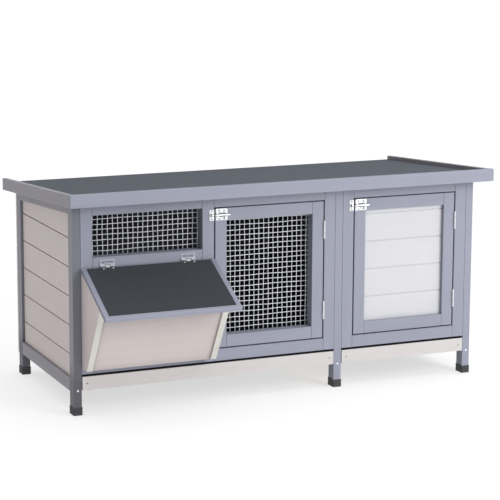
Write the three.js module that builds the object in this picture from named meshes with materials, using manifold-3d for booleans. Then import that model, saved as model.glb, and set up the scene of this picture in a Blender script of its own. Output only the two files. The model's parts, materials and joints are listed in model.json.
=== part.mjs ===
// Rabbit hutch on six legs: two cabins under one sloping felt roof, two doors, a hay hopper with a lid and two trays.
// Millimetres. X runs right from the left legs' outer face, Y runs back from the legs' front face, Z runs up from
// the floor. The exported group is shifted so that its origin is the middle of the object's box, on the floor.
import * as THREE from "three";
import { mergeVertices } from "three/addons/utils/BufferGeometryUtils.js";
import Module from "manifold-3d";

const wasm = await Module();
wasm.setup();

// ---------------------------------------------------------------- driving dimensions
const BODY_W = 1070;
const BODY_D = 445;
const GAP = 0.3; // between pieces that touch
const POST_X = 20;
const POST_Y = 30;
const CENTRE_X = 681.5; // left face of the centre legs
const SIDE_Y0 = POST_Y + GAP; // what is fixed between a front and a back leg
const SIDE_Y1 = BODY_D - POST_Y - GAP;

const CAP_H = 19; // rubber foot caps
const CAP_WALL = 1.5;
const CAP_FLOOR = 3;

const FRAME_T = 28; // thickness of the front frames and doors
const FRAME_Z0 = 98.5;
const FRAME_Z1 = 507;
const RAIL = 30; // width of frame stiles and rails
const OPEN_Z0 = FRAME_Z0 + RAIL;
const OPEN_Z1 = 477;
const HINGE_RAIL_Z0 = 348; // rail between the window and the hopper opening
const HINGE_RAIL_Z1 = 377.6;
const WINDOW_X0 = 50;
const WINDOW_X1 = 327;
const MIDDLE_OPEN_X0 = 357.5;
const MIDDLE_OPEN_X1 = 651.5;
const RIGHT_OPEN_X0 = 731.5;
const RIGHT_OPEN_X1 = 1018.7;
const DOOR_GAP = 3;
const MESH_T = 2;
const MESH_LAP = 10; // how far a wire mesh laps onto the wood behind its opening
const PLANK_SET_BACK = 10; // door planks behind the door's face
const PLANK_REBATE = 6;
const PLANK_T = 8;

const LOW_RAIL_Z0 = 54; // side rails that carry the trays
const LOW_RAIL_Z1 = 86;
const LEDGE_W = 16;
const LEDGE_Z1 = 62.5;
const SIDING_X = 6.5; // siding behind the legs' outer face
const SIDING_T = 8;
const SIDING_TOP = 482; // siding's top edge at Y 0; it falls with the roof
const BOARD_PITCH = 70; // height of one tongue-and-groove board
const GROOVE_W = 3;
const GROOVE_D = 2;
const SIDE_GROOVE_Z = 140; // lowest groove of the walls
const DOOR_GROOVE_Z = 223.5; // lowest groove of the right door's planks
const BACK_T = 7.7;
const BACK_Z0 = 53;

const DIVIDER_T = 9;
const DOORWAY_W = 150;
const DOORWAY_Z0 = 100;
const DOORWAY_SPRING_Z = 255; // where the doorway's round top begins

const ROOF_X0 = -18;
const ROOF_X1 = 1102;
const ROOF_Y0 = -46;
const ROOF_Y1 = 508.5;
const ROOF_TOP = 536; // top of the fascia and of the side rails' front ends
const ROOF_SLOPE = 0.0703;
const ROOF_RAIL_T = 12;
const ROOF_RAIL_H = 30;
const FASCIA_H = 31;
const FELT_BELOW_RAIL = 10;
const FELT_T = 2;
const DECK_T = 9.7;

const TRAY_FRONT_Z0 = 60;
const TRAY_FRONT_Z1 = 93.5;
const TRAY_FRONT_T = 15;
const TRAY_PROUD = 1.5;
const TRAY_SIDE_GAP = 1.5;
const PAN_WALL = 2;
const PAN_SIDE_GAP = 2.5;
const PAN_Z0 = 62.9;
const PAN_Z1 = 91;
const PAN_Y1 = 443; // just short of the back wall, so that no litter drops behind the pan

const HOPPER_X0 = 21.5;
const HOPPER_X1 = 349.5;
const HOPPER_SIDE_T = 15;
const HOPPER_Z0 = 113;
const HOPPER_FOOT_Y = -33; // front of the hopper's sides at their lower edge
const HOPPER_LEAN = 0.591; // how far the front leans out for each millimetre of height
const HOPPER_FRONT_T = 9;
const HOPPER_FRONT_SET_BACK = 4;
const HOPPER_FLOOR_T = 8;

const LID_AXIS_Y = -3.2;
const LID_AXIS_Z = 356.5;
const LID_ANGLE = THREE.MathUtils.degToRad(26.6); // slope of the closed lid
const LID_X0 = 20.5;
const LID_X1 = 357.5;
const LID_LENGTH = 193; // from the hinge axis to the front edge
const LID_T = 10.5;
const LID_TOP = -0.9; // lid's top face below the hinge axis, in the lid's own frame
const LID_BACK = 3.3; // from the hinge axis to the lid's back edge
const LID_TRIM = 11.5;
const LID_FELT_T = 1.2;

const LEAF_T = 0.8; // door hinges, in the gap beside each door
const DOOR_HINGE_L = 45;
const DOOR_HINGE_R = 3;
const DOOR_LEAF_DEPTH = 22;
const DOOR_AXIS_Y = -3.3;
const DOOR_HINGE_INSET = 70; // hinge centre from the door's top and bottom edge
const PIN_R = 1.4;
const PIN_CLEARANCE = 0.4;
const KNUCKLE_GAP = 1.5;
const LID_HINGE_W = 36;
const LID_HINGE_R = 2.8;
const LID_LEAF_T = 1.2;
const LID_LEAF_H = 18;
const LID_HINGE_CENTRES = [85.5, 289.5];
const ROUND = 14; // sides of a small round piece

const LATCH_Z = 459;
const BOLT_Y = -5.1;
const BOLT_R = 2.5;
const BOLT_L = 39.5;
const BOLT_TIP_GAP = 2.5; // bolt's tip beyond the door's edge, just clear of the keeper
const KNOB_R = 2;
const KNOB_L = 13;
const STRAP_T = 1.2;
const STRAP_FRONT_Y = -9.9;
const STRAP_HALF_H = 5.5;
const LATCH_PLATE_W = 31;
const KEEPER_W = 12;

// Foremost point of the closed lid, which is the front of the whole object's box.
const LID_FRONT_Y = LID_AXIS_Y - LID_LENGTH * Math.cos(LID_ANGLE) - LID_TOP * Math.sin(LID_ANGLE);

// ---------------------------------------------------------------- materials
function wood(color) {
  return new THREE.MeshStandardMaterial({ color, roughness: 0.62, metalness: 0 });
}
const GRAY_WOOD = wood(0xa3a6b6);
const CREAM_WOOD = wood(0xcbc3c0);
const WHITE_WOOD = wood(0xe0e0e4);
const PLAIN_WOOD = wood(0xc9b08a);
const ROOF_FELT = new THREE.MeshStandardMaterial({ color: 0x3e4148, roughness: 0.95, metalness: 0 });
const ZINC = new THREE.MeshStandardMaterial({ color: 0xd8dadc, roughness: 0.35, metalness: 0.9 });
const WIRE = new THREE.MeshStandardMaterial({ color: 0xb4b7bb, roughness: 0.45, metalness: 0.8 });
const RUBBER = new THREE.MeshStandardMaterial({ color: 0x46464a, roughness: 0.8, metalness: 0 });
const TRAY_PLASTIC = new THREE.MeshStandardMaterial({ color: 0x5a5e63, roughness: 0.5, metalness: 0 });

// ---------------------------------------------------------------- solids
function solid(geometry) {
  const plain = geometry.index ? geometry.toNonIndexed() : geometry.clone();
  const bare = new THREE.BufferGeometry().setAttribute("position", plain.getAttribute("position"));
  const merged = mergeVertices(bare, 1e-3);
  const mesh = new wasm.Mesh({
    numProp: 3,
    vertProperties: merged.attributes.position.array,
    triVerts: new Uint32Array(merged.index.array),
  });
  return new wasm.Manifold(mesh);
}

function geometryOf(shape) {
  const mesh = shape.getMesh();
  return new THREE.BufferGeometry()
    .setAttribute("position", new THREE.BufferAttribute(mesh.vertProperties, 3))
    .setIndex(new THREE.BufferAttribute(mesh.triVerts, 1));
}

function box([x0, x1], [y0, y1], [z0, z1]) {
  const geometry = new THREE.BoxGeometry(x1 - x0, y1 - y0, z1 - z0);
  return solid(geometry.translate((x0 + x1) / 2, (y0 + y1) / 2, (z0 + z1) / 2));
}

// An outline in Y and Z, drawn out along X.
function prismAlongX(outline, [x0, x1]) {
  const shape = new THREE.Shape(outline.map(([y, z]) => new THREE.Vector2(y, z)));
  return drawnAlongX(shape, [x0, x1]);
}

function drawnAlongX(shape, [x0, x1]) {
  const geometry = new THREE.ExtrudeGeometry(shape, { depth: x1 - x0, bevelEnabled: false, curveSegments: 12 });
  const turn = new THREE.Matrix4().makeBasis(
    new THREE.Vector3(0, 1, 0),
    new THREE.Vector3(0, 0, 1),
    new THREE.Vector3(1, 0, 0),
  );
  return solid(geometry.applyMatrix4(turn).translate(x0, 0, 0));
}

function rodAlongX(radius, [x0, x1], y, z) {
  const geometry = new THREE.CylinderGeometry(radius, radius, x1 - x0, ROUND).rotateZ(Math.PI / 2);
  return solid(geometry.translate((x0 + x1) / 2, y, z));
}

function rodAlongZ(radius, x, y, [z0, z1]) {
  const geometry = new THREE.CylinderGeometry(radius, radius, z1 - z0, ROUND).rotateX(Math.PI / 2);
  return solid(geometry.translate(x, y, (z0 + z1) / 2));
}

function join(first, ...others) {
  return others.reduce((sum, other) => sum.add(other), first);
}

function cut(first, ...others) {
  return others.reduce((rest, other) => rest.subtract(other), first);
}

function place(group, name, shape, material) {
  const mesh = new THREE.Mesh(geometryOf(shape), material);
  mesh.name = name;
  group.add(mesh);
}

// ---------------------------------------------------------------- heights that follow the roof
function roofTop(y) {
  return ROOF_TOP - ROOF_SLOPE * (y - ROOF_Y0);
}

function deckTop(y) {
  return roofTop(y) - FELT_BELOW_RAIL - FELT_T - GAP;
}

function deckUnder(y) {
  return deckTop(y) - DECK_T;
}

function sidingTop(y) {
  return SIDING_TOP - ROOF_SLOPE * y;
}

// A board between Y values whose upper and lower edges may follow the roof.
function slopingBoard([x0, x1], [y0, y1], lower, upper) {
  const outline = [
    [y0, lower(y0)],
    [y1, lower(y1)],
    [y1, upper(y1)],
    [y0, upper(y0)],
  ];
  return prismAlongX(outline, [x0, x1]);
}

// ---------------------------------------------------------------- legs
function leg(group, name, x0, y0) {
  const top = (y) => deckUnder(y) - GAP;
  const foot = () => CAP_FLOOR + GAP;
  const post = slopingBoard([x0, x0 + POST_X], [y0, y0 + POST_Y], foot, top);
  place(group, `${name}_post`, post, GRAY_WOOD);
  const out = CAP_WALL + GAP;
  const cap = cut(
    box([x0 - out, x0 + POST_X + out], [y0 - out, y0 + POST_Y + out], [0, CAP_H]),
    box([x0 - GAP, x0 + POST_X + GAP], [y0 - GAP, y0 + POST_Y + GAP], [CAP_FLOOR, CAP_H + 1]),
  );
  place(group, `${name}_foot_cap`, cap, RUBBER);
}

function legs(group) {
  const columns = { left: 0, centre: CENTRE_X, right: BODY_W - POST_X };
  const rows = { front: 0, back: BODY_D - POST_Y };
  for (const [row, y0] of Object.entries(rows)) {
    for (const [column, x0] of Object.entries(columns)) leg(group, `${row}_${column}`, x0, y0);
  }
}

// ---------------------------------------------------------------- front frames and window
function throughFront(xs, zs) {
  return box(xs, [-1, FRAME_T + 1], zs);
}

function frontFrames(group) {
  const left = cut(
    box([POST_X + GAP, CENTRE_X - GAP], [0, FRAME_T], [FRAME_Z0, FRAME_Z1]),
    throughFront([WINDOW_X0, WINDOW_X1], [HINGE_RAIL_Z1, OPEN_Z1]),
    throughFront([WINDOW_X0, WINDOW_X1], [OPEN_Z0, HINGE_RAIL_Z0]),
    throughFront([MIDDLE_OPEN_X0, MIDDLE_OPEN_X1], [OPEN_Z0, OPEN_Z1]),
  );
  place(group, "front_left_frame", left, GRAY_WOOD);
  const right = cut(
    box([CENTRE_X + POST_X + GAP, BODY_W - POST_X - GAP], [0, FRAME_T], [FRAME_Z0, FRAME_Z1]),
    throughFront([RIGHT_OPEN_X0, RIGHT_OPEN_X1], [OPEN_Z0, OPEN_Z1]),
  );
  place(group, "front_right_frame", right, GRAY_WOOD);
}

// Welded wire behind an opening, as the plain sheet that its wires fill.
function wireSheet([x0, x1], [z0, z1]) {
  const behind = FRAME_T + GAP;
  return box([x0 - MESH_LAP, x1 + MESH_LAP], [behind, behind + MESH_T], [z0 - MESH_LAP, z1 + MESH_LAP]);
}

function windowMesh(group) {
  const sheet = wireSheet([WINDOW_X0, WINDOW_X1], [HINGE_RAIL_Z1, OPEN_Z1]);
  place(group, "window_mesh", sheet, WIRE);
}

// ---------------------------------------------------------------- side, back and inner walls
function grooveAlongY(x, z) {
  return box([x - GROOVE_D, x + GROOVE_D], [SIDE_Y0 - 1, SIDE_Y1 + 1], [z - GROOVE_W / 2, z + GROOVE_W / 2]);
}

function groovesFrom(lowest, highest) {
  const heights = [];
  for (let z = lowest; z < highest; z += BOARD_PITCH) heights.push(z);
  return heights;
}

function mirrored([x0, x1]) {
  return [BODY_W - x1, BODY_W - x0];
}

function sideWall(group, side) {
  const across = side === "left" ? (xs) => xs : mirrored;
  const ys = [SIDE_Y0, SIDE_Y1];
  const outerX = side === "left" ? SIDING_X : BODY_W - SIDING_X;
  const grooves = groovesFrom(SIDE_GROOVE_Z, sidingTop(SIDE_Y1)).map((z) => grooveAlongY(outerX, z));
  const siding = slopingBoard(across([SIDING_X, SIDING_X + SIDING_T]), ys, () => LOW_RAIL_Z1 + GAP, sidingTop);
  place(group, `${side}_wall_siding`, cut(siding, ...grooves), CREAM_WOOD);
  const lowRail = join(
    box(across([0, POST_X]), ys, [LOW_RAIL_Z0, LOW_RAIL_Z1]),
    box(across([0, POST_X + LEDGE_W]), ys, [LOW_RAIL_Z0, LEDGE_Z1]),
  );
  place(group, `${side}_bottom_rail`, lowRail, GRAY_WOOD);
  const topRail = slopingBoard(across([0, POST_X]), ys, (y) => sidingTop(y) + GAP, (y) => deckUnder(y) - GAP);
  place(group, `${side}_top_rail`, topRail, GRAY_WOOD);
}

function backWall(group) {
  const y0 = BODY_D + GAP;
  const ys = [y0, y0 + BACK_T];
  const boards = slopingBoard([0, BODY_W], ys, () => BACK_Z0, (y) => deckUnder(y) - GAP);
  const grooves = groovesFrom(BACK_Z0 + BOARD_PITCH, deckUnder(BODY_D)).map((z) =>
    box([-1, BODY_W + 1], [ys[1] - GROOVE_D, ys[1] + 1], [z - GROOVE_W / 2, z + GROOVE_W / 2]),
  );
  place(group, "back_wall", cut(boards, ...grooves), CREAM_WOOD);
}

// Inner wall between the cabins, with a doorway that has a round top.
function divider(group) {
  const x0 = CENTRE_X + (POST_X - DIVIDER_T) / 2;
  const middle = (SIDE_Y0 + SIDE_Y1) / 2;
  const half = DOORWAY_W / 2;
  const doorway = new THREE.Shape()
    .moveTo(middle - half, DOORWAY_Z0)
    .lineTo(middle + half, DOORWAY_Z0)
    .lineTo(middle + half, DOORWAY_SPRING_Z)
    .absarc(middle, DOORWAY_SPRING_Z, half, 0, Math.PI, false);
  const wall = cut(
    slopingBoard([x0, x0 + DIVIDER_T], [SIDE_Y0, SIDE_Y1], () => LOW_RAIL_Z1 + GAP, (y) => deckUnder(y) - GAP),
    drawnAlongX(doorway, [x0 - 1, x0 + DIVIDER_T + 1]),
  );
  place(group, "divider_wall", wall, PLAIN_WOOD);
  const runner = join(
    box([CENTRE_X, CENTRE_X + POST_X], [SIDE_Y0, SIDE_Y1], [LOW_RAIL_Z0, LOW_RAIL_Z1]),
    box([CENTRE_X - LEDGE_W, CENTRE_X + POST_X + LEDGE_W], [SIDE_Y0, SIDE_Y1], [LOW_RAIL_Z0, LEDGE_Z1]),
  );
  place(group, "centre_tray_runner", runner, PLAIN_WOOD);
}

// ---------------------------------------------------------------- roof
function roof(group) {
  const ys = [ROOF_Y0 + ROOF_RAIL_T + GAP, ROOF_Y1];
  const inner = [ROOF_X0 + ROOF_RAIL_T + GAP, ROOF_X1 - ROOF_RAIL_T - GAP];
  place(group, "roof_deck", slopingBoard(inner, ys, deckUnder, deckTop), PLAIN_WOOD);
  const feltUnder = (y) => deckTop(y) + GAP;
  const feltTop = (y) => feltUnder(y) + FELT_T;
  place(group, "roof_felt", slopingBoard(inner, ys, feltUnder, feltTop), ROOF_FELT);
  const fascia = box([ROOF_X0, ROOF_X1], [ROOF_Y0, ROOF_Y0 + ROOF_RAIL_T], [ROOF_TOP - FASCIA_H, ROOF_TOP]);
  place(group, "roof_fascia", fascia, GRAY_WOOD);
  const sides = {
    left: [ROOF_X0, ROOF_X0 + ROOF_RAIL_T],
    right: [ROOF_X1 - ROOF_RAIL_T, ROOF_X1],
  };
  for (const [side, xs] of Object.entries(sides)) {
    const rail = slopingBoard(xs, ys, (y) => roofTop(y) - ROOF_RAIL_H, roofTop);
    place(group, `roof_rail_${side}`, rail, GRAY_WOOD);
  }
}

// ---------------------------------------------------------------- hay hopper
// Height of the closed lid's underside at a given Y, less a gap.
function underLid(y) {
  const n = LID_TOP - LID_T - GAP;
  return LID_AXIS_Z + (n + (y - LID_AXIS_Y) * Math.sin(LID_ANGLE)) / Math.cos(LID_ANGLE);
}

function hopperFrontY(z, setBack) {
  const across = setBack * Math.hypot(1, HOPPER_LEAN);
  return HOPPER_FOOT_Y - HOPPER_LEAN * (z - HOPPER_Z0) + across;
}

// Where a line parallel to the hopper's front meets the lid's underside. Both are straight.
function frontMeetsLid(setBack) {
  const slope = Math.tan(LID_ANGLE);
  const z = (underLid(0) + slope * hopperFrontY(0, setBack)) / (1 + slope * HOPPER_LEAN);
  return [hopperFrontY(z, setBack), z];
}

function hopper(group) {
  const backY = -GAP;
  const sideOutline = [
    [backY, HOPPER_Z0],
    [backY, underLid(backY)],
    frontMeetsLid(0),
    [HOPPER_FOOT_Y, HOPPER_Z0],
  ].reverse();
  const sides = {
    left: [HOPPER_X0, HOPPER_X0 + HOPPER_SIDE_T],
    right: [HOPPER_X1 - HOPPER_SIDE_T, HOPPER_X1],
  };
  for (const [side, xs] of Object.entries(sides)) {
    place(group, `feeder_side_${side}`, prismAlongX(sideOutline, xs), CREAM_WOOD);
  }
  const outer = HOPPER_FRONT_SET_BACK;
  const inner = outer + HOPPER_FRONT_T;
  const between = [sides.left[1] + GAP, sides.right[0] - GAP];
  const frontOutline = [
    [hopperFrontY(HOPPER_Z0, outer), HOPPER_Z0],
    [hopperFrontY(HOPPER_Z0, inner), HOPPER_Z0],
    frontMeetsLid(inner),
    frontMeetsLid(outer),
  ];
  const floor = box(between, [hopperFrontY(HOPPER_Z0, inner) - 2, backY], [HOPPER_Z0, HOPPER_Z0 + HOPPER_FLOOR_T]);
  place(group, "feeder_front", join(prismAlongX(frontOutline, between), floor), CREAM_WOOD);
}

// ---------------------------------------------------------------- hinges
// The stretches of a three-knuckle barrel: the outer two belong to the fixed leaf, the middle one to the moving leaf.
function knuckles([start, end]) {
  const each = (end - start - 2 * KNUCKLE_GAP) / 3;
  const middle = [start + each + KNUCKLE_GAP, end - each - KNUCKLE_GAP];
  return { fixed: [[start, start + each], [end - each, end]], moving: [middle] };
}

// One leaf of a door hinge. side is 1 for the leaf on the frame's stile, -1 for the leaf on the door.
function doorLeaf(part, side, axisX, zs) {
  const inside = axisX + side * (DOOR_GAP / 2 - GAP - LEAF_T);
  const outside = axisX + side * (DOOR_GAP / 2 - GAP);
  const xs = [Math.min(inside, outside), Math.max(inside, outside)];
  const plateY = DOOR_AXIS_Y + DOOR_HINGE_R + 0.5;
  const shapes = knuckles(zs)[part].flatMap((stretch) => [
    rodAlongZ(DOOR_HINGE_R, axisX, DOOR_AXIS_Y, stretch),
    box(xs, [DOOR_AXIS_Y, plateY + 0.1], stretch),
  ]);
  let leaf = join(box(xs, [plateY, DOOR_LEAF_DEPTH], zs), ...shapes);
  const bore = rodAlongZ(PIN_R + PIN_CLEARANCE, axisX, DOOR_AXIS_Y, [zs[0] - 1, zs[1] + 1]);
  if (part === "moving") leaf = cut(leaf, bore);
  else leaf = join(leaf, rodAlongZ(PIN_R, axisX, DOOR_AXIS_Y, zs));
  return leaf;
}

function doorHinges(hutch, door, name, axisX) {
  const centres = {
    upper: OPEN_Z1 - DOOR_GAP - DOOR_HINGE_INSET,
    lower: OPEN_Z0 + DOOR_GAP + DOOR_HINGE_INSET,
  };
  for (const [level, z] of Object.entries(centres)) {
    const zs = [z - DOOR_HINGE_L / 2, z + DOOR_HINGE_L / 2];
    place(hutch, `${name}_hinge_${level}_fixed_leaf`, doorLeaf("fixed", 1, axisX, zs), ZINC);
    place(door, `${name}_hinge_${level}_moving_leaf`, doorLeaf("moving", -1, axisX, zs), ZINC);
  }
}

function lidFixedLeaf(centreX) {
  const xs = [centreX - LID_HINGE_W / 2, centreX + LID_HINGE_W / 2];
  const plateZ = LID_AXIS_Z + LID_HINGE_R + 0.5;
  const ys = [-GAP - LID_LEAF_T, -GAP];
  const shapes = knuckles(xs).fixed.flatMap((stretch) => [
    rodAlongX(LID_HINGE_R, stretch, LID_AXIS_Y, LID_AXIS_Z),
    box(stretch, ys, [LID_AXIS_Z, plateZ + 0.1]),
  ]);
  const plate = box(xs, ys, [plateZ, LID_AXIS_Z + LID_LEAF_H]);
  return join(plate, rodAlongX(PIN_R, xs, LID_AXIS_Y, LID_AXIS_Z), ...shapes);
}

const LID_LEAF_Z1 = LID_TOP - LID_FELT_T - GAP; // the moving leaf lies in the board, under the felt
const LID_LEAF_Z0 = LID_LEAF_Z1 - LID_LEAF_T;
const LID_LEAF_Y0 = -LID_HINGE_R - 13;

function lidMovingLeaf(centreX) {
  const xs = [centreX - LID_HINGE_W / 2, centreX + LID_HINGE_W / 2];
  const shapes = knuckles(xs).moving.flatMap((stretch) => [
    rodAlongX(LID_HINGE_R, stretch, 0, 0),
    box(stretch, [-LID_HINGE_R - 0.5, 0], [LID_LEAF_Z0, 0]),
  ]);
  const plate = box(xs, [LID_LEAF_Y0, -LID_HINGE_R - 0.4], [LID_LEAF_Z0, LID_LEAF_Z1]);
  const bore = rodAlongX(PIN_R + PIN_CLEARANCE, [xs[0] - 1, xs[1] + 1], 0, 0);
  return cut(join(plate, ...shapes), bore);
}

// ---------------------------------------------------------------- lid, in its own frame: the hinge axis is X at 0, 0
function feederLid(group) {
  const lid = new THREE.Group();
  lid.position.set(0, LID_AXIS_Y, LID_AXIS_Z);
  lid.rotation.x = LID_ANGLE;
  group.add(lid);
  const feltUnder = LID_TOP - LID_FELT_T - GAP;
  const felt = { x: [LID_X0 + LID_TRIM, LID_X1 - LID_TRIM], y: [-LID_LENGTH + LID_TRIM, -LID_BACK] };
  const pockets = LID_HINGE_CENTRES.map((x) =>
    box([x - LID_HINGE_W / 2 - GAP, x + LID_HINGE_W / 2 + GAP], [LID_LEAF_Y0 - GAP, 0], [LID_LEAF_Z0 - GAP, 1]),
  );
  const board = cut(
    box([LID_X0, LID_X1], [-LID_LENGTH, -LID_BACK], [LID_TOP - LID_T, LID_TOP]),
    box(felt.x, [felt.y[0], 1], [feltUnder, 1]),
    ...pockets,
  );
  place(lid, "lid_board", board, GRAY_WOOD);
  const sheet = box(
    [felt.x[0] + GAP, felt.x[1] - GAP],
    [felt.y[0] + GAP, -LID_BACK - 1.5],
    [feltUnder + GAP, LID_TOP],
  );
  place(lid, "lid_felt", sheet, ROOF_FELT);
  LID_HINGE_CENTRES.forEach((x, i) => {
    const side = ["left", "right"][i];
    place(lid, `lid_hinge_${side}_moving_leaf`, lidMovingLeaf(x), ZINC);
    place(group, `lid_hinge_${side}_fixed_leaf`, lidFixedLeaf(x), ZINC);
  });
}

// ---------------------------------------------------------------- latches
// A bent strap that holds the bolt, standing on a plate.
function strap(xs) {
  const zs = [LATCH_Z - STRAP_HALF_H, LATCH_Z + STRAP_HALF_H];
  return cut(
    box(xs, [STRAP_FRONT_Y, -GAP], zs),
    box(
      [xs[0] - 1, xs[1] + 1],
      [STRAP_FRONT_Y + STRAP_T, -GAP - STRAP_T],
      [zs[0] + STRAP_T, zs[1] - STRAP_T],
    ),
  );
}

function latch(hutch, door, name, doorX0) {
  const plateYs = [-GAP - STRAP_T, -GAP];
  const keeperX1 = doorX0 - DOOR_GAP - 0.5;
  const keeperXs = [keeperX1 - KEEPER_W, keeperX1];
  const keeper = join(box(keeperXs, plateYs, [LATCH_Z - 13.5, LATCH_Z + 13.5]), strap(keeperXs));
  place(hutch, `${name}_latch_keeper`, keeper, ZINC);

  const x0 = doorX0 + 0.5;
  const guides = [
    [x0 + 0.8, x0 + 5.8],
    [x0 + 24.2, x0 + 29.2],
  ];
  const plate = join(
    box([x0, x0 + LATCH_PLATE_W], plateYs, [LATCH_Z - 13.5, LATCH_Z + 15]),
    ...guides.map(strap),
  );
  place(door, `${name}_latch_plate`, plate, ZINC);

  const bolt = new THREE.Group();
  door.add(bolt);
  const tipX = doorX0 - BOLT_TIP_GAP;
  const knobGeometry = new THREE.CylinderGeometry(KNOB_R, KNOB_R, KNOB_L, ROUND);
  knobGeometry.translate(0, -KNOB_L / 2, 0).rotateX(Math.PI / 4);
  const knob = solid(knobGeometry.translate(doorX0 + 19.3, BOLT_Y, LATCH_Z));
  const rod = rodAlongX(BOLT_R, [tipX, tipX + BOLT_L], BOLT_Y, LATCH_Z);
  place(bolt, `${name}_bolt_rod`, join(rod, knob), ZINC);
}

// ---------------------------------------------------------------- doors
const DOOR_Z0 = OPEN_Z0 + DOOR_GAP;
const DOOR_Z1 = OPEN_Z1 - DOOR_GAP + 0.5;

function doorFrame(x0, x1) {
  return cut(
    box([x0, x1], [0, FRAME_T], [DOOR_Z0, DOOR_Z1]),
    throughFront([x0 + RAIL, x1 - RAIL], [DOOR_Z0 + RAIL, DOOR_Z1 - RAIL]),
  );
}

function middleDoor(hutch) {
  const door = new THREE.Group();
  hutch.add(door);
  const x0 = MIDDLE_OPEN_X0 + DOOR_GAP;
  const x1 = MIDDLE_OPEN_X1 - DOOR_GAP;
  place(door, "middle_door_frame", doorFrame(x0, x1), GRAY_WOOD);
  const sheet = wireSheet([x0 + RAIL, x1 - RAIL], [DOOR_Z0 + RAIL, DOOR_Z1 - RAIL]);
  place(door, "middle_door_mesh", sheet, WIRE);
  doorHinges(hutch, door, "middle_door", MIDDLE_OPEN_X1 - DOOR_GAP / 2);
  latch(hutch, door, "middle_door", x0);
}

// The right door's planks lie in a rebate cut from behind into its frame.
function rightDoor(hutch) {
  const door = new THREE.Group();
  hutch.add(door);
  const x0 = RIGHT_OPEN_X0 + DOOR_GAP;
  const x1 = RIGHT_OPEN_X1 - DOOR_GAP;
  const xs = [x0 + RAIL - PLANK_REBATE, x1 - RAIL + PLANK_REBATE];
  const zs = [DOOR_Z0 + RAIL - PLANK_REBATE, DOOR_Z1 - RAIL + PLANK_REBATE];
  const frame = cut(doorFrame(x0, x1), box(xs, [PLANK_SET_BACK, FRAME_T + 1], zs));
  place(door, "right_door_frame", frame, GRAY_WOOD);
  const faceY = PLANK_SET_BACK + GAP;
  const grooves = groovesFrom(DOOR_GROOVE_Z, zs[1]).map((z) =>
    box([xs[0], xs[1]], [faceY - 1, faceY + GROOVE_D], [z - GROOVE_W / 2, z + GROOVE_W / 2]),
  );
  const planks = box(
    [xs[0] + GAP, xs[1] - GAP],
    [faceY, faceY + PLANK_T],
    [zs[0] + GAP, zs[1] - GAP],
  );
  place(door, "right_door_planks", cut(planks, ...grooves), WHITE_WOOD);
  doorHinges(hutch, door, "right_door", RIGHT_OPEN_X1 - DOOR_GAP / 2);
  latch(hutch, door, "right_door", x0);
}

// ---------------------------------------------------------------- trays
function tray(hutch, name, [left, right]) {
  const group = new THREE.Group();
  hutch.add(group);
  const frontY0 = -TRAY_PROUD;
  const frontY1 = frontY0 + TRAY_FRONT_T;
  const front = box(
    [left + TRAY_SIDE_GAP, right - TRAY_SIDE_GAP],
    [frontY0, frontY1],
    [TRAY_FRONT_Z0, TRAY_FRONT_Z1],
  );
  place(group, `${name}_tray_front`, front, CREAM_WOOD);
  const xs = [left + PAN_SIDE_GAP, right - PAN_SIDE_GAP];
  const ys = [frontY1 + GAP, PAN_Y1];
  const pan = cut(
    box(xs, ys, [PAN_Z0, PAN_Z1]),
    box(
      [xs[0] + PAN_WALL, xs[1] - PAN_WALL],
      [ys[0] + PAN_WALL, ys[1] - PAN_WALL],
      [PAN_Z0 + PAN_WALL, PAN_Z1 + 1],
    ),
  );
  place(group, `${name}_tray_pan`, pan, TRAY_PLASTIC);
}

// ---------------------------------------------------------------- assembly
const hutch = new THREE.Group();
hutch.position.set(-(ROOF_X0 + ROOF_X1) / 2, -(LID_FRONT_Y + ROOF_Y1) / 2, 0);
legs(hutch);
frontFrames(hutch);
windowMesh(hutch);
sideWall(hutch, "left");
sideWall(hutch, "right");
backWall(hutch);
divider(hutch);
roof(hutch);
hopper(hutch);
feederLid(hutch);
middleDoor(hutch);
rightDoor(hutch);
tray(hutch, "left", [POST_X, CENTRE_X]);
tray(hutch, "right", [CENTRE_X + POST_X, BODY_W - POST_X]);

export default hutch;
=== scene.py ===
import json
import math
import random

import bmesh
import bpy
from mathutils import Matrix, Vector


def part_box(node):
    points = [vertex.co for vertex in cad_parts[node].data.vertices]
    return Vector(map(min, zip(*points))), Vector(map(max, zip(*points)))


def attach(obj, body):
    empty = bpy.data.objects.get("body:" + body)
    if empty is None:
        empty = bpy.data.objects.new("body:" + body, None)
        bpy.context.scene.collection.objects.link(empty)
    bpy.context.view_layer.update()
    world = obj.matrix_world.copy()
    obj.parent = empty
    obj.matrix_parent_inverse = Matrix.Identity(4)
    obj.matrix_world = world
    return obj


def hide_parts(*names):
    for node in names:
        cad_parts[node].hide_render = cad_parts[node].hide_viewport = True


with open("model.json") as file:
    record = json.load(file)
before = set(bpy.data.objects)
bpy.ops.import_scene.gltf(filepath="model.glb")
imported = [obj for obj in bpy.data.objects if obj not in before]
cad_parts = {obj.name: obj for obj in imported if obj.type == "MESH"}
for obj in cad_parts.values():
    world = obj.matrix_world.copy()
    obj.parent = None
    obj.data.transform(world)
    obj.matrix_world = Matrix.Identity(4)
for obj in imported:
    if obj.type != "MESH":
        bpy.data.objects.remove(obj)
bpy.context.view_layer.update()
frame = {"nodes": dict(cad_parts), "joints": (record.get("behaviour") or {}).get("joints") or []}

# Rabbit hutch. Metres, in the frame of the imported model: X to the right, Y to the back, Z up from the floor.

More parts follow.
